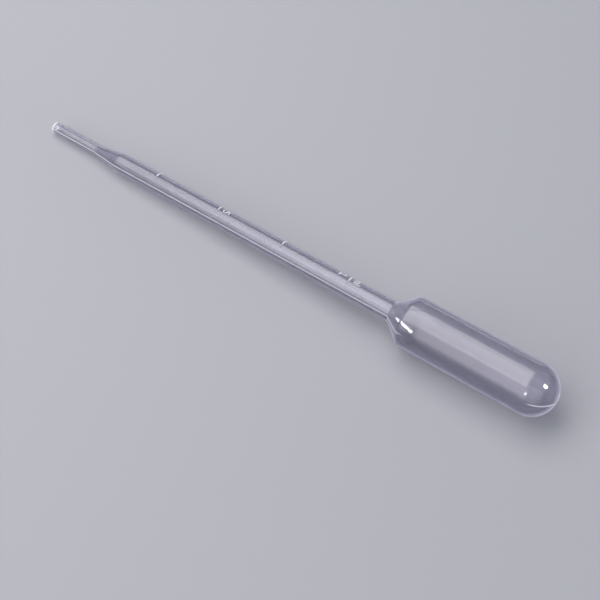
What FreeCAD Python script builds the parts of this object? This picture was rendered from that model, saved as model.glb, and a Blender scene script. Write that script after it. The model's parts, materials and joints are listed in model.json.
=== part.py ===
"""A graduated dropper pipette, blow-moulded in one piece from low-density polyethylene.

It is a thin-walled tube, open at its fine tip and closed by a round-ended squeeze bulb.  The two
halves of the mould leave a fine line of flash along both sides and over the end of the bulb, and
one half leaves the raised volume marks on the stem.

The pipette is drawn along X with its tip at the origin and its parting plane in XY, and is then
laid on the surface z = 0 the way it comes to rest: on its shoulder and on the front of its stem.
Lengths are in millimetres, angles in degrees and volumes in cubic millimetres.
"""

import FreeCAD
import Part

import math
import os

# Lengths along the pipette, from the open end of the tip to the end of the bulb.
tip_length = 14.2
taper_length = 7.5
stem_length = 80.9
neck_length = 4.8
bulb_length = 31.6  # the straight part; the dome that follows is as long as the bulb's radius

# Outside diameters.
tip_diameter = 2.85
stem_diameter = 5.0
bulb_diameter = 12.7

# Walls.  The bulb is blown furthest, so its wall is the thinnest.
tip_wall = 0.465
stem_wall = 0.44
bulb_wall = 0.35

# Radii of the bends, outside.
rim_radius = 0.12
taper_radius = 6.0
neck_radius = 0.5
shoulder_radius = 1.6

# Flash along the parting line.
flash_width = 0.34
flash_height = 0.11

# Volume marks: raised bars across the half of the stem that faces up.
mark_volume = 250.0
mark_width = 0.36
mark_height = 0.12
mark_span = 84.0
mark_root = 0.2  # how deep a bar's foot is drawn into the wall, so that the two join

# How far the marks lean back from straight up as the pipette lies.
lean = 23.0

# Places and radii that follow from the sizes above.
taper_start = tip_length
stem_start = taper_start + taper_length
neck_start = stem_start + stem_length
shoulder = neck_start + neck_length
dome_start = shoulder + bulb_length
tip_radius = tip_diameter / 2
stem_radius = stem_diameter / 2
bulb_radius = bulb_diameter / 2
taper_slope = math.atan2(stem_radius - tip_radius, taper_length)
neck_slope = math.atan2(bulb_radius - stem_radius, neck_length)

ALONG = FreeCAD.Vector(1, 0, 0)
ACROSS = FreeCAD.Vector(0, 1, 0)
UP = FreeCAD.Vector(0, 0, 1)
ORIGIN = FreeCAD.Vector(0, 0, 0)


def bends(inset_tip, inset_stem, inset_bulb):
    """The four bends of the outline moved inwards by these depths, each as (x, radius, bend radius).

    A point between a straight run and a cone moves along by its depth times the tangent of half
    the cone's slope, which keeps the wall even.  A bend that is hollow outside opens out by its
    depth, and one that is full outside tightens by it.
    """
    taper_shift = math.tan(taper_slope / 2)
    neck_shift = math.tan(neck_slope / 2)
    return [
        (taper_start + inset_tip * taper_shift, tip_radius - inset_tip, taper_radius + inset_tip),
        (stem_start + inset_stem * taper_shift, stem_radius - inset_stem, taper_radius - inset_stem),
        (neck_start + inset_stem * neck_shift, stem_radius - inset_stem, neck_radius + inset_stem),
        (shoulder + inset_bulb * neck_shift, bulb_radius - inset_bulb, shoulder_radius - inset_bulb),
    ]


def rounded(points):
    """Edges through (x, radius, bend radius) points in the XY plane, with an arc at every bend."""
    corners = [FreeCAD.Vector(x, y, 0) for x, y, _ in points]
    edges = []
    last = corners[0]
    for before, corner, after, (_, _, bend) in zip(corners, corners[1:], corners[2:], points[1:]):
        back = (before - corner).normalize()
        on = (after - corner).normalize()
        half = back.getAngle(on) / 2
        reach = bend / math.tan(half)
        middle = corner + (back + on).normalize() * (bend / math.sin(half) - bend)
        first = corner + back * reach
        second = corner + on * reach
        edges.append(Part.LineSegment(last, first).toShape())
        edges.append(Part.Arc(first, middle, second).toShape())
        last = second
    edges.append(Part.LineSegment(last, corners[-1]).toShape())
    return edges


def outline(inset_tip, inset_stem, inset_bulb, rim=0.0):
    """The half section inside the outline moved inwards by these depths, as a face beside the axis."""
    mouth = tip_radius - inset_tip
    dome = bulb_radius - inset_bulb
    start = [(0, 0, 0), (0, mouth, rim)] if rim else [(0, mouth, 0)]
    path = start + bends(inset_tip, inset_stem, inset_bulb) + [(dome_start, dome, 0)]
    edges = rounded(path)
    cos_45 = math.sqrt(0.5)
    pole = FreeCAD.Vector(dome_start + dome, 0, 0)
    edges.append(
        Part.Arc(
            FreeCAD.Vector(dome_start, dome, 0),
            FreeCAD.Vector(dome_start + dome * cos_45, dome * cos_45, 0),
            pole,
        ).toShape()
    )
    edges.append(Part.LineSegment(pole, ORIGIN).toShape())
    if not rim:
        edges.append(Part.LineSegment(ORIGIN, FreeCAD.Vector(0, mouth, 0)).toShape())
    return Part.Face(Part.Wire(edges))


def hollow():
    """The space inside: bore, stem and bulb."""
    return outline(tip_wall, stem_wall, bulb_wall).revolve(ORIGIN, ALONG, 360)


def flash():
    """A thin plate on the parting plane that stands proud of the pipette all round."""
    half = outline(-flash_height, -flash_height, -flash_height)
    plate = half.fuse(half.mirror(ORIGIN, ACROSS)).removeSplitter()
    plate.translate(UP * (-flash_width / 2))
    return plate.extrude(UP * flash_width)


def mark_places():
    """Where the contents reach each whole step of volume, as far as the straight stem goes."""
    bore = tip_radius - tip_wall
    stem_bore = stem_radius - stem_wall
    in_tip = math.pi * bore**2 * tip_length
    in_taper = math.pi * (bore**2 + bore * stem_bore + stem_bore**2) * taper_length / 3
    area = math.pi * stem_bore**2
    places = []
    volume = mark_volume
    while volume < in_tip + in_taper + area * stem_length:
        place = stem_start + (volume - in_tip - in_taper) / area
        if stem_start + mark_width < place < neck_start - mark_width:
            places.append(place)
        volume += mark_volume
    return places


def mark(place):
    """One raised bar across the top of the stem, with a rounded back."""
    foot = stem_radius - mark_root
    near = FreeCAD.Vector(place - mark_width / 2, 0, foot)
    far = FreeCAD.Vector(place + mark_width / 2, 0, foot)
    back = Part.Arc(
        near + UP * mark_root,
        FreeCAD.Vector(place, 0, stem_radius + mark_height),
        far + UP * mark_root,
    ).toShape()
    sides = [(near + UP * mark_root, near), (near, far), (far, far + UP * mark_root)]
    edges = [back] + [Part.LineSegment(a, b).toShape() for a, b in sides]
    bar = Part.Face(Part.Wire(Part.sortEdges(edges)[0]))
    bar.rotate(ORIGIN, ALONG, -mark_span / 2)
    return bar.revolve(ORIGIN, ALONG, mark_span)


def pipette():
    """The moulded piece, drawn along X."""
    body = outline(0, 0, 0, rim_radius).revolve(ORIGIN, ALONG, 360)
    raised = [flash()] + [mark(place) for place in mark_places()]
    return body.multiFuse(raised).cut(hollow()).removeSplitter()


def rest_pitch():
    """How far the bulb's end is lifted when the shoulder and the front of the pipette both touch.

    Each bend and the rim is a circle in the section.  Two of them stand level when the pipette is
    pitched by the angle of their common tangent, and it tips forward only as far as the first.
    """
    shoulder_back = shoulder_radius * math.tan(neck_slope / 2)
    stem_back = taper_radius * math.tan(taper_slope / 2)
    rests = [
        (rim_radius, tip_radius - rim_radius, rim_radius),
        (stem_start + stem_back, stem_radius - taper_radius, taper_radius),
    ]
    along, out, bend = shoulder + shoulder_back, bulb_radius - shoulder_radius, shoulder_radius
    pitches = []
    for x, y, radius in rests:
        line = math.atan2(out - y, along - x)
        pitches.append(line + math.asin((bend - radius) / math.hypot(along - x, out - y)))
    return math.degrees(min(pitches))


def lie_down(shape):
    """The pipette as it lies, with the middle of its box over the origin and its lowest point at z = 0."""
    shape.rotate(ORIGIN, ALONG, -lean)
    shape.rotate(ORIGIN, ACROSS, -rest_pitch())
    box = shape.optimalBoundingBox(False, False)
    shape.translate(FreeCAD.Vector(-box.Center.x, -box.Center.y, -box.ZMin))
    return shape


def main():
    os.makedirs("parts", exist_ok=True)
    made = lie_down(pipette())
    made.exportStep("parts/pipette.step")
    print("solids", len(made.Solids), "valid", made.isValid(), "volume", round(made.Volume, 2))
    print("marks at", [round(place, 2) for place in mark_places()], "pitch", round(rest_pitch(), 3))


main()
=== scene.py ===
import json

import bpy
import numpy as np
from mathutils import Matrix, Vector


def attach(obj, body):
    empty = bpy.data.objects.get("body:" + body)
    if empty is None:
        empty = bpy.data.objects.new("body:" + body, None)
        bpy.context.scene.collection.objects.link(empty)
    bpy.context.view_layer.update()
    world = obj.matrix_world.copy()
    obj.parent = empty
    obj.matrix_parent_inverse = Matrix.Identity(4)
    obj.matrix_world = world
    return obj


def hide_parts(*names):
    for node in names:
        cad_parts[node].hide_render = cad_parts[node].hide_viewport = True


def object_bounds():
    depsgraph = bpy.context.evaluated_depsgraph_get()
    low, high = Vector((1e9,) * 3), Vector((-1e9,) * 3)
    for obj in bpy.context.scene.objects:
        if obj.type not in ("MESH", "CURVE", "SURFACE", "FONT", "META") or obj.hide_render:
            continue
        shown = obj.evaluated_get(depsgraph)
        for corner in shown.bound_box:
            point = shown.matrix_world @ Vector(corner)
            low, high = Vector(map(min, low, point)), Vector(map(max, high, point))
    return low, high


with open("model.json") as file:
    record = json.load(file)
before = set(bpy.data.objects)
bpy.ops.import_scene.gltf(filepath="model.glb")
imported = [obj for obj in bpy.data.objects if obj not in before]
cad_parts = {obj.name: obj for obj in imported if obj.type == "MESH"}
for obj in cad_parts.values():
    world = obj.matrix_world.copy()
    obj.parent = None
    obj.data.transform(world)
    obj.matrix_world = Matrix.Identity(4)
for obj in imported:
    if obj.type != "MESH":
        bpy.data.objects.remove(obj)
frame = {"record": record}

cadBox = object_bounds()
mm = 0.001
mounts = {mount["name"]: mount for mount in frame["record"]["mounts"]}
slack = 0.012  # taken off every radius, because the CAD box is that of a coarser mesh


# sizes in millimetres and degrees; the radii come from the mounts and the box
pipette = {
    "tipLength": 14.2,
    "taperLength": 7.5,
    "stemLength": 80.9,
    "neckLength": 4.8,
    "bulbLength": 31.6,
    "tipRadius": mounts["tip"]["dims"]["r_mm"] - slack,
    "stemRadius": mounts["stem"]["dims"]["r_mm"] - slack,
    "bulbRadius": (cadBox[1].y - cadBox[0].y) / 2 / mm - slack,
    "tipWall": 0.465,
    "stemWall": 0.44,
    "bulbWall": 0.35,
    "rimRound": 0.12,
    "mouthRound": 0.06,
    "taperRound": 6.0,
    "neckRound": 0.5,
    "shoulderRound": 1.6,
    "cutWhite": 2.0,  # how milky the cut end is, where the flash is 1
    "cutReach": 0.5,  # how far from the mouth the milk of the cut reaches
    "flashWidth": 0.46,
    "flashHeight": 0.11,
    "bulbFlash": 0.12,  # share of the flash that is left along the bulb, where it is stretched flat
    "flashSinks": 1.5,  # how far behind the shoulder the flash has sunk to that share
    "flashRises": (1.4, 2.8),  # how far into the dome it starts to rise, and is full height again
    "lean": 23.0,  # how far the marks lean back as the pipette lies
    "columns": 176,  # points round the pipette
    "coarse": 1.6,  # longest step along a straight run
    "fine": 0.07,  # step across marks and numerals
    "turnStep": 0.12,  # turn from row to row round a bend, in radians
    "domePoints": 91,  # points of the section along each quarter of the dome
    "crowdedTurn": 0.62,  # columns crowd this far to each side of the marks' middle, in radians
    "crowdedLine": 0.18,  # how strongly they crowd on the parting lines
}

marks = {
    "volume": 250.0,  # cubic millimetres from one mark to the next
    "most": 8,  # steps of volume that are looked at, of which the stem holds some
    "width": 0.40,
    "height": 0.12,
    "white": 2.0,  # how milky a mark is, where the flash is 1
    "dim": 0.8,  # how milky it is at its front end, lowered there as painted shade, since the marks are lit from behind
    "paintedShadeTurns": (-0.42, -0.21),  # turns from its middle between which it grows from dim to white, painting shade over a mark's front end
    "span": 84.0,  # turn that a mark covers round the stem
    "endRound": 0.06,  # how soon a mark's ends run out, in radians
    "stroke": 0.34,  # width of a numeral's line
    "relief": 0.10,  # how far a numeral stands out of the wall
    "tall": 1.65,  # how long a numeral is along the stem
    "gap": 1.1,  # clear space between a mark and its numeral
}


def turnsAndRuns(corners, bends, steps=25):
    # straight runs joined by tangent arcs, as complex numbers x + i r: an arc's centre is on the
    # bisector of its corner, bend / sin(half angle) away, and its ends are bend / tan(half) away
    z = np.array(corners)
    parts = [z[:1]]
    for before, corner, after, bend in zip(z, z[1:], z[2:], bends):
        back = (before - corner) / abs(before - corner)
        onward = (after - corner) / abs(after - corner)
        half = abs(np.angle(onward / back)) / 2
        centre = corner + (back + onward) / abs(back + onward) * bend / np.sin(half)
        first = corner + back * bend / np.tan(half) - centre
        last = corner + onward * bend / np.tan(half) - centre
        turn = np.linspace(0, 1, steps) * np.angle(last / first)
        parts.append(centre + first * np.exp(1j * turn))
    parts.append(z[-1:])
    return np.concatenate(parts)


def sectionPath(p):
    # half the section in one line: from the inside of the dome back to the mouth, round the rim
    # and along the outside to the end of the dome
    taper = p["tipLength"]
    stem = taper + p["taperLength"]
    neck = stem + p["stemLength"]
    shoulder = neck + p["neckLength"]
    dome = shoulder + p["bulbLength"]
    taperHalf = np.tan(np.arctan2(p["stemRadius"] - p["tipRadius"], p["taperLength"]) / 2)
    neckHalf = np.tan(np.arctan2(p["bulbRadius"] - p["stemRadius"], p["neckLength"]) / 2)

    def corners(tipWall, stemWall, bulbWall):
        return [
            dome + 1j * (p["bulbRadius"] - bulbWall),
            shoulder + bulbWall * neckHalf + 1j * (p["bulbRadius"] - bulbWall),
            neck + stemWall * neckHalf + 1j * (p["stemRadius"] - stemWall),
            stem + stemWall * taperHalf + 1j * (p["stemRadius"] - stemWall),
            taper + tipWall * taperHalf + 1j * (p["tipRadius"] - tipWall),
            1j * (p["tipRadius"] - tipWall),
        ]

    walls = (p["tipWall"], p["stemWall"], p["bulbWall"])
    grow = np.array([-p["bulbWall"], p["stemWall"], -p["stemWall"], p["tipWall"]])
    bends = np.array([p["shoulderRound"], p["neckRound"], p["taperRound"], p["taperRound"]])
    inside = [*(bends + grow), p["mouthRound"]]
    outside = [p["rimRound"], *bends[::-1]]
    path = turnsAndRuns(corners(*walls) + corners(0, 0, 0)[::-1], inside + outside)
    quarter = np.linspace(np.pi / 2, 0, p["domePoints"])[1:]
    innerDome = dome + (p["bulbRadius"] - p["bulbWall"]) * np.exp(1j * quarter)
    outerDome = dome + p["bulbRadius"] * np.exp(1j * quarter)
    return np.concatenate([innerDome[::-1], path, outerDome])


def markPlaces(p, m):
    # where the bore holds each whole step of volume: what the tip and the taper hold is taken off,
    # and the rest is divided by the area of the stem's bore
    bore = p["tipRadius"] - p["tipWall"]
    wide = p["stemRadius"] - p["stemWall"]
    cone = (bore**2 + bore * wide + wide**2) * p["taperLength"] / 3
    below = np.pi * (bore**2 * p["tipLength"] + cone)
    start = p["tipLength"] + p["taperLength"]
    volumes = np.arange(1, m["most"] + 1) * m["volume"]
    places = start + (volumes - below) / (np.pi * wide**2)
    return places[(places > start) & (places < start + p["stemLength"] - m["width"])]


def crowdedRows(path, p, zones):
    # rows of the grid: their number in any stretch grows with the turn there, and the rows crowd
    # in the zones, so a row's place is where the running sum of 1 / step reaches its number
    samples, smoothing = 24000, 61  # places looked at, and how many of them the turn is evened over
    along = np.concatenate([[0], np.cumsum(abs(np.diff(path)))])
    at = np.linspace(0, along[-1], samples)
    z = np.interp(at, along, path.real) + 1j * np.interp(at, along, path.imag)
    heading = np.unwrap(np.angle(np.diff(path)))
    turned = np.interp(at, (along[1:] + along[:-1]) / 2, heading)
    turnRate = np.convolve(abs(np.gradient(turned, at)), np.ones(smoothing) / smoothing, "same")
    density = 1 / p["coarse"] + turnRate / p["turnStep"]
    density = np.where(z.real < p["cutReach"], 1 / p["fine"], density)
    mouth = at[np.argmin(z.real)]
    for low, high in zones:
        inZone = (at > mouth) & (z.real > low) & (z.real < high)
        density = np.where(inZone, 1 / p["fine"], density)
    number = np.concatenate([[0], np.cumsum((density[1:] + density[:-1]) / 2 * np.diff(at))])
    rows = np.interp(np.linspace(0, number[-1], int(number[-1]) + 2), number, at)
    x = np.interp(rows, along, path.real)
    r = np.interp(rows, along, path.imag)
    normal = np.interp(rows, at, turned) + np.pi / 2
    return x, r, normal, rows > mouth


def crowdedColumns(r, p):
    # columns of the grid as angles from the marks: C(a) = a + clip(a) + the two parting lines'
    # arctan steps rises evenly from column to column, and halving the interval inverts it
    sharp = r[:, None] / (p["flashWidth"] / 2)

    def count(a):
        steps = np.arctan((a - np.pi / 2) * sharp) + np.arctan((a + np.pi / 2) * sharp)
        return a + np.clip(a, -p["crowdedTurn"], p["crowdedTurn"]) + p["crowdedLine"] * steps

    low = np.full((len(r), p["columns"]), -np.pi)
    high = -low
    share = np.arange(p["columns"]) / p["columns"]
    first, last = count(low[:, :1]), count(high[:, :1])
    target = first + share * (last - first)
    halvings = 40
    for _ in range(halvings):
        middle = (low + high) / 2
        less = count(middle) < target
        low = np.where(less, middle, low)
        high = np.where(less, high, middle)
    return (low + high) / 2


def rounded(distance, half):
    # a moulded line's section: 1 - q squared, to a power under 1 that squares its shoulders, where
    # q is the distance over the half width
    power = 0.75
    q = np.clip(distance / half, 0, 1)
    return (1 - q**2) ** power


def toSegment(u, v, a, b):
    # distance from (u, v) to the nearest point of the segment from a to b
    along = ((u - a[0]) * (b[0] - a[0]) + (v - a[1]) * (b[1] - a[1])) / (
        (b[0] - a[0]) ** 2 + (b[1] - a[1]) ** 2
    )
    along = np.clip(along, 0, 1)
    return np.hypot(u - a[0] - along * (b[0] - a[0]), v - a[1] - along * (b[1] - a[1]))


def toArc(u, v, centre, radius, start, end):
    # distance to an arc: to its circle where the direction lies between start and end, and to the
    # nearer end elsewhere
    angle = np.arctan2(v - centre[1], u - centre[0])
    middle = (start + end) / 2
    turn = (angle - middle + np.pi) % (2 * np.pi) - np.pi
    turn = np.clip(turn, -(end - start) / 2, (end - start) / 2) + middle
    return np.hypot(u - centre[0] - radius * np.cos(turn), v - centre[1] - radius * np.sin(turn))


# each glyph: (width, distance from (u, v)), on a body 1 high with its foot at v = 0
def one(u, v):
    stem = toSegment(u, v, (0.3, 0), (0.3, 1))
    flag = toSegment(u, v, (0.3, 1), (0.02, 0.72))
    foot = toSegment(u, v, (0.02, 0), (0.58, 0))
    return np.minimum(np.minimum(stem, flag), foot)


def dot(u, v):
    return np.hypot(u - 0.08, v - 0.03)


def five(u, v):
    bowl = toArc(u, v, (0.24, 0.32), 0.32, -2.3, 2.2)
    back = toSegment(u, v, (0.05, 0.55), (0.1, 1))
    return np.minimum(np.minimum(bowl, back), toSegment(u, v, (0.1, 1), (0.52, 1)))


def em(u, v):
    legs = [toSegment(u, v, (x, 0), (x, 0.5)) for x in (0, 0.36, 0.72)]
    arches = [toArc(u, v, (x, 0.5), 0.18, 0, np.pi) for x in (0.18, 0.54)]
    return np.minimum.reduce(legs + arches)


def ell(u, v):
    return toSegment(u, v, (0, 0), (0, 1))


glyphs = {"1": (0.6, one), ".": (0.16, dot), "5": (0.56, five), "m": (0.72, em), "l": (0.0, ell)}


def word(text, u, v, tall):
    # the distance to the nearest stroke of the word, which is centred across and stands on v = 0
    space = 0.28
    width = sum(glyphs[c][0] for c in text) + space * (len(text) - 1)
    left = -width / 2
    nearest = np.full(u.shape, np.inf)
    for c in text:
        wide, shape = glyphs[c]
        nearest = np.minimum(nearest, shape(u / tall - left, v / tall) * tall)
        left += wide + space
    return nearest


def flashHeight(x, r, angle, p):
    # the flash stands by distance from the parting plane, full height along the stem and over the
    # dome, and pressed down along the bulb
    shoulder = p["tipLength"] + p["taperLength"] + p["stemLength"] + p["neckLength"]
    dome = shoulder + p["bulbLength"]
    rises, stands = p["flashRises"]
    at = [0, p["rimRound"], shoulder, shoulder + p["flashSinks"], dome + rises, dome + stands]
    left = np.interp(x, at, [0, 1, 1, p["bulbFlash"], p["bulbFlash"], 1])
    return left * p["flashHeight"] * rounded(abs(r * np.cos(angle)), p["flashWidth"] / 2)


def reliefHeight(x, angle, p, m, places, words):
    # a mark stands by distance along from its place, and a word by distance from its strokes
    ends = np.clip((np.radians(m["span"] / 2) - abs(angle)) / m["endRound"], 0, 1)
    tall = np.zeros(angle.shape)
    for place in places:
        tall = np.maximum(tall, m["height"] * ends * rounded(abs(x - place), m["width"] / 2))
    for text, foot in words:
        away = word(text, -angle * p["stemRadius"], x - foot, m["tall"])
        tall = np.maximum(tall, m["relief"] * rounded(away, m["stroke"] / 2))
    return tall


def layDown(x, y, z, p):
    # turn about the pipette's own axis by the lean, then carry the axis to where the mounts put it
    lean = np.radians(p["lean"])
    y, z = y * np.cos(lean) + z * np.sin(lean), z * np.cos(lean) - y * np.sin(lean)
    tip = mounts["tip"]
    outward = np.array(tip["axis"])
    along = -outward
    mouth = np.array(tip["pos_m"]) + outward * (tip["dims"]["length_mm"] / 2 + p["rimRound"]) * mm
    across = np.cross([0, 0, 1], along)
    across /= np.linalg.norm(across)
    upward = np.cross(along, across)
    place = x[..., None] * along + y[..., None] * across + z[..., None] * upward
    return mouth + place * mm


def closedGrid(name, points, firstPole, lastPole, ridge):
    # a tube of quads from row to row, closed by a fan at each pole; ridge is kept as an attribute
    rows, columns = points.shape[:2]
    index = np.arange(rows * columns).reshape(rows, columns)
    right = np.roll(index, -1, 1)
    quads = np.stack([index[:-1], index[1:], right[1:], right[:-1]], -1).reshape(-1, 4)
    poles = np.full(columns, rows * columns)
    starts = np.stack([poles, index[0], right[0]], -1)
    ends = np.stack([poles + 1, right[-1], index[-1]], -1)
    vertices = np.concatenate([points.reshape(-1, 3), [firstPole, lastPole]])
    loops = np.concatenate([quads.ravel(), starts.ravel(), ends.ravel()])
    sizes = np.concatenate([np.full(len(quads), 4), np.full(2 * columns, 3)])
    mesh = bpy.data.meshes.new(name)
    mesh.vertices.add(len(vertices))
    mesh.vertices.foreach_set("co", vertices.ravel())
    mesh.loops.add(len(loops))
    mesh.loops.foreach_set("vertex_index", loops)
    mesh.polygons.add(len(sizes))
    mesh.polygons.foreach_set("loop_start", np.cumsum(sizes) - sizes)
    mesh.polygons.foreach_set("use_smooth", np.ones(len(sizes), bool))
    share = mesh.attributes.new("ridge", "FLOAT", "POINT")
    share.data.foreach_set("value", np.append(ridge.ravel(), [0, ridge[-1].max()]))
    mesh.update()
    mesh.validate()
    piece = bpy.data.objects.new(name, mesh)
    bpy.context.scene.collection.objects.link(piece)
    return piece


def mouldedPipette(p, m):
    # each row of the section is turned round the axis, and a point of the outside is moved out
    # along the section's normal by the taller of flash and relief there
    places = markPlaces(p, m)
    words = [
        (".5", places[1] + m["width"] / 2 + m["gap"]),
        ("1", places[3] - m["width"] / 2 - m["gap"] - m["tall"]),
        ("ml", places[3] + m["width"] / 2 + m["gap"]),
    ]
    zones = [(place - m["width"], place + m["width"]) for place in places]
    zones += [(foot - m["stroke"], foot + m["tall"] + m["stroke"]) for _, foot in words]
    x, r, normal, outer = crowdedRows(sectionPath(p), p, zones)
    print("rows", len(x), "columns", p["columns"], "marks at", places.round(2))
    firstX, lastX = x[0], x[-1]
    x, r, normal, outer = x[1:-1], r[1:-1], normal[1:-1], outer[1:-1]
    angle = crowdedColumns(r, p)
    flash = np.where(outer[:, None], flashHeight(x[:, None], r[:, None], angle, p), 0)
    relief = np.where(outer[:, None], reliefHeight(x[:, None], angle, p, m, places, words), 0)
    grow = np.maximum(flash, relief)
    alongWall = x[:, None] + grow * np.cos(normal)[:, None]
    outOfWall = r[:, None] + grow * np.sin(normal)[:, None]
    y, z = outOfWall * np.sin(angle), outOfWall * np.cos(angle)
    poles = layDown(np.array([firstX, lastX + p["flashHeight"]]), np.zeros(2), np.zeros(2), p)
    # how milky: 1 on the flash, from dim to white along a mark, so that a mark's front end holds
    # painted shade, and full over the first half of the cut's reach
    # the marks' milk is painted shade at their front ends, where it drops from white to dim
    milkAndPaintedShade = relief / m["height"] * np.interp(angle, m["paintedShadeTurns"], [m["dim"], m["white"]])
    cut = p["cutWhite"] * np.clip(2 - 2 * x / p["cutReach"], 0, 1)[:, None]
    ridge = np.maximum(np.maximum(flash / p["flashHeight"], milkAndPaintedShade), cut)
    piece = closedGrid("moulded_pipette", layDown(alongWall, y, z, p), poles[0], poles[1], ridge)
    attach(piece, "root")
    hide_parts("pipette")
    return piece


polyethylene = {
    "clear": (0.88, 0.87, 0.945, 1),  # tint of what is seen through a wall
    "gloss": 0.07,  # roughness of the wall
    "index": 1.51,  # how strongly it bends light
    # share of milk by how far the wall turns from the eye
    "milk": [(0, 0), (0.1, 0.02), (0.2, 0.12), (0.45, 0.3), (0.6, 0.6), (0.85, 0.85)],
    "milkFace": (0.26, 0.26, 0.345, 1),
    "milkEdge": (0.8, 0.79, 0.95, 1),
    "milkTurns": (0.45, 0.85),  # turns between which its colour goes from face to edge
    "through": 0.4,  # share of the milky light that comes through from behind
    "mottle": 0.12,  # how uneven the milk is
    "mottleScale": 900,
    "mottleDetail": 4,
    "mottleReach": (0.3, 0.7),  # values of the noise that the mottle is spread over
    "flashMilk": 0.8,  # share of milk in the flash
    "flashColor": (0.88, 0.87, 0.93, 1),
    "markColor": (0.97, 0.965, 0.99, 1),
    "markThrough": 0.1,
    "markStarts": (1, 1.5),  # values of ridge between which the flash's milk becomes a mark's
    "wave": 0.000006,  # height of the waves in the wall, in metres
    "waveScale": 420,
    "waveDetail": 3,
    "drawn": 0.25,  # waves and mottle are drawn out along the pipette by one over this
}


def node(tree, kind, inputs=None, **settings):
    # a node with its settings; an input that is another node's socket is linked, any other is set
    made = tree.nodes.new(kind)
    for name, value in settings.items():
        setattr(made, name, value)
    for name, value in (inputs or {}).items():
        if isinstance(value, bpy.types.NodeSocket):
            tree.links.new(value, made.inputs[name])
        else:
            made.inputs[name].default_value = value
    return made


def ramp(tree, factor, stops):
    # straight lines between stops, each a place and a grey value or a colour
    made = node(tree, "ShaderNodeValToRGB", {0: factor})
    elements = made.color_ramp.elements
    while len(elements) > 1:
        elements.remove(elements[-1])
    for place, value in stops:
        stop = elements[0] if place == stops[0][0] else elements.new(place)
        stop.position = place
        stop.color = value if isinstance(value, tuple) else (value, value, value, 1)
    return made.outputs[0]


def litFromBothSides(tree, color, through):
    # milky plastic: one share of the light is thrown back, and the share through comes from behind
    front = node(tree, "ShaderNodeBsdfDiffuse", {"Color": color}).outputs[0]
    back = node(tree, "ShaderNodeBsdfTranslucent", {"Color": color}).outputs[0]
    return node(tree, "ShaderNodeMixShader", {0: through, 1: front, 2: back}).outputs[0]


def polyethyleneMaterial(s):
    material = bpy.data.materials.new("translucent_polyethylene")
    material.use_nodes = True
    tree = material.node_tree
    tree.nodes.clear()
    place = node(tree, "ShaderNodeTexCoord").outputs["Object"]
    drawn = {"Vector": place, "Scale": (s["drawn"], 1, 1)}
    along = node(tree, "ShaderNodeMapping", drawn).outputs[0]
    even = {"Blend": 0.5}  # leaves Facing at 1 minus the cosine of the turn from the eye
    turned = node(tree, "ShaderNodeLayerWeight", even).outputs["Facing"]

    # the clear wall, slightly wavy
    waves = {"Vector": along, "Scale": s["waveScale"], "Detail": s["waveDetail"]}
    waves = node(tree, "ShaderNodeTexNoise", waves).outputs[0]
    wavy = {"Height": waves, "Distance": s["wave"], "Strength": 1}
    clear = node(tree, "ShaderNodeBsdfPrincipled", {
        "Base Color": s["clear"],
        "Roughness": s["gloss"],
        "IOR": s["index"],
        "Transmission Weight": 1.0,
        "Normal": node(tree, "ShaderNodeBump", wavy).outputs[0],
    }).outputs[0]

    # the milk in it, which shows more where the wall turns away, and is a little uneven
    faceStop, edgeStop = s["milkTurns"]
    color = ramp(tree, turned, [(faceStop, s["milkFace"]), (edgeStop, s["milkEdge"])])
    milk = litFromBothSides(tree, color, s["through"])
    clouds = {"Vector": along, "Scale": s["mottleScale"], "Detail": s["mottleDetail"]}
    uneven = node(tree, "ShaderNodeMapRange", {
        "Value": node(tree, "ShaderNodeTexNoise", clouds).outputs[0],
        "From Min": s["mottleReach"][0],
        "From Max": s["mottleReach"][1],
        "To Min": 1 - s["mottle"],
        "To Max": 1 + s["mottle"],
    }).outputs[0]
    share = {0: ramp(tree, turned, s["milk"]), 1: uneven}
    share = node(tree, "ShaderNodeMath", share, operation="MULTIPLY", use_clamp=True).outputs[0]
    walls = node(tree, "ShaderNodeMixShader", {0: share, 1: clear, 2: milk}).outputs[0]

    # the flash, the marks (with painted shade at their front ends) and the cut end, by the share
    # kept with the mesh
    ridge = node(tree, "ShaderNodeAttribute", attribute_name="ridge").outputs["Fac"]
    proud = {0: ridge, 1: s["flashMilk"]}
    proud = node(tree, "ShaderNodeMath", proud, operation="MULTIPLY").outputs[0]
    bright = node(tree, "ShaderNodeMapRange", {
        "Value": ridge,
        "From Min": s["markStarts"][0],
        "From Max": s["markStarts"][1],
    }).outputs[0]
    flash = litFromBothSides(tree, s["flashColor"], s["through"])
    mark = litFromBothSides(tree, s["markColor"], s["markThrough"])
    line = node(tree, "ShaderNodeMixShader", {0: bright, 1: flash, 2: mark}).outputs[0]
    skin = node(tree, "ShaderNodeMixShader", {0: proud, 1: walls, 2: line}).outputs[0]
    node(tree, "ShaderNodeOutputMaterial", {"Surface": skin})
    print("polyethylene", len(tree.nodes), "nodes")
    return material


floor = {"size": 3.0, "color": (0.447, 0.457, 0.505, 1), "roughness": 0.75}


def paleFloor(s):
    # a square in the plane z = 0, with the pipette over its middle
    mesh = bpy.data.meshes.new("floor")
    half = s["size"] / 2
    corners = [(-half, -half, 0), (half, -half, 0), (half, half, 0), (-half, half, 0)]
    mesh.from_pydata(corners, [], [(0, 1, 2, 3)])
    made = bpy.data.objects.new("floor", mesh)
    bpy.context.scene.collection.objects.link(made)
    material = bpy.data.materials.new("floor")
    material.use_nodes = True
    plain = material.node_tree.nodes["Principled BSDF"]
    plain.inputs["Base Color"].default_value = s["color"]
    plain.inputs["Roughness"].default_value = s["roughness"]
    mesh.materials.append(material)
    print("floor", s["size"], "m square")


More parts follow.
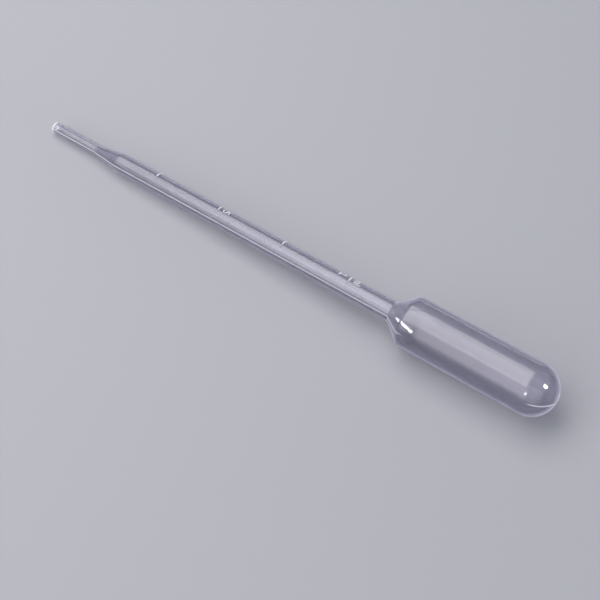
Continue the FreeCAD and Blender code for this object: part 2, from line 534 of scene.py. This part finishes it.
# strength is the brightness of the light's face; shows is "gloss" for a light that only shines in
# gloss and glass, and "milk" for one that only lights milky plastic and the floor
lights = [
    {
        "name": "softbox",
        "at": (-0.34, -0.04, 0.60),
        "towards": (-0.34, -0.04, 0),
        "size": (0.62, 0.92),
        "strength": 2.5,
        "color": (1, 0.972, 0.925),
    },
    {
        "name": "front_panel",
        "at": (-0.26, -0.755, 0.40),
        "towards": (0.03, 0, 0.006),
        "size": (1.0, 0.62),
        "strength": 1.2,
        "color": (1, 0.98, 0.94),
    },
    {
        "name": "back_strip",
        "at": (-0.438, 0.881, 0.076),
        "towards": (0.03, 0, 0.006),
        "size": (0.9, 0.25),
        "strength": 1.2,
    },
    {
        "name": "small_lamp",
        "at": (0.075, -0.733, 0.344),
        "towards": (0.067, -0.005, 0.012),
        "size": (0.125, 0.115),
        "strength": 13,
        "color": (1, 0.98, 0.95),
        "shows": "gloss",
    },
    {
        "name": "end_panel",
        "at": (0.85, 0, 0.06),
        "towards": (0.072, 0, 0.009),
        "size": (0.3, 0.1),
        "strength": 45,
        "color": (1, 0.98, 0.96),
        "shows": "milk",
    },
]

# lamps in a row, one behind the other, that fill the same angle and add up
lampRow = {
    "count": 4,
    "step": 0.03,  # share of the distance from one to the next
    "at": (0.666, 0.18, 0.469),
    "towards": (0.045, 0, 0.007),
    "size": (0.16, 0.21),
    "strength": 18,
    "color": (1, 0.97, 0.9),
}


def areaLight(name, at, towards, size, strength, color=(1, 1, 1), shows="all"):
    light = bpy.data.lights.new(name, "AREA")
    light.shape = "RECTANGLE"
    light.size, light.size_y = size
    light.energy = strength * size[0] * size[1] * np.pi  # power is brightness times area times pi
    light.color = color
    made = bpy.data.objects.new(name, light)
    made.location = at
    made.rotation_euler = (Vector(towards) - Vector(at)).to_track_quat("-Z", "Y").to_euler()
    made.visible_diffuse = shows != "gloss"
    made.visible_glossy = made.visible_transmission = shows != "milk"
    bpy.context.scene.collection.objects.link(made)


def rowOfLamps(s):
    # lamp n stands at towards + (at - towards) times (1 + n steps), and is as much wider
    near, towards = np.array(s["at"]), np.array(s["towards"])
    for n in range(s["count"]):
        reach = 1 + n * s["step"]
        at = towards + (near - towards) * reach
        size = np.array(s["size"]) * reach
        areaLight(f"lamp_{n}", at, towards, size, s["strength"], s["color"], "gloss")


camera = {
    "azimuth": 36.061,
    "elevation": 54.53,
    "distance": 0.34297,
    "aim": (0.010866, -0.00968, 0.006023),
    "lens": 90,
    "sensor": 36,
    "near": 0.01,
}


def aimedCamera(s):
    # it stands back from its aim by its distance, along the direction of the two angles
    azimuth, elevation = np.radians(s["azimuth"]), np.radians(s["elevation"])
    level = np.cos(elevation)
    back = Vector((np.sin(azimuth) * level, -np.cos(azimuth) * level, np.sin(elevation)))
    data = bpy.data.cameras.new("camera")
    data.lens = s["lens"]
    data.sensor_width = s["sensor"]
    data.clip_start = s["near"]
    made = bpy.data.objects.new("camera", data)
    made.location = Vector(s["aim"]) + back * s["distance"]
    made.rotation_euler = back.to_track_quat("Z", "Y").to_euler()
    bpy.context.scene.collection.objects.link(made)
    bpy.context.scene.camera = made
    print("camera", s["lens"], "mm at", s["distance"], "m")


room = {"color": (0.84, 0.88, 1, 1), "strength": 0.33}


def studio(s):
    world = bpy.data.worlds.new("studio")
    world.use_nodes = True
    walls = world.node_tree.nodes["Background"]
    walls.inputs["Color"].default_value = s["color"]
    walls.inputs["Strength"].default_value = s["strength"]
    bpy.context.scene.world = world
    bpy.context.scene.view_settings.view_transform = "Standard"
    for light in lights:
        areaLight(**light)
    rowOfLamps(lampRow)
    print("lights", len(lights) + lampRow["count"])


piece = mouldedPipette(pipette, marks)
piece.data.materials.append(polyethyleneMaterial(polyethylene))
paleFloor(floor)
studio(room)
aimedCamera(camera)
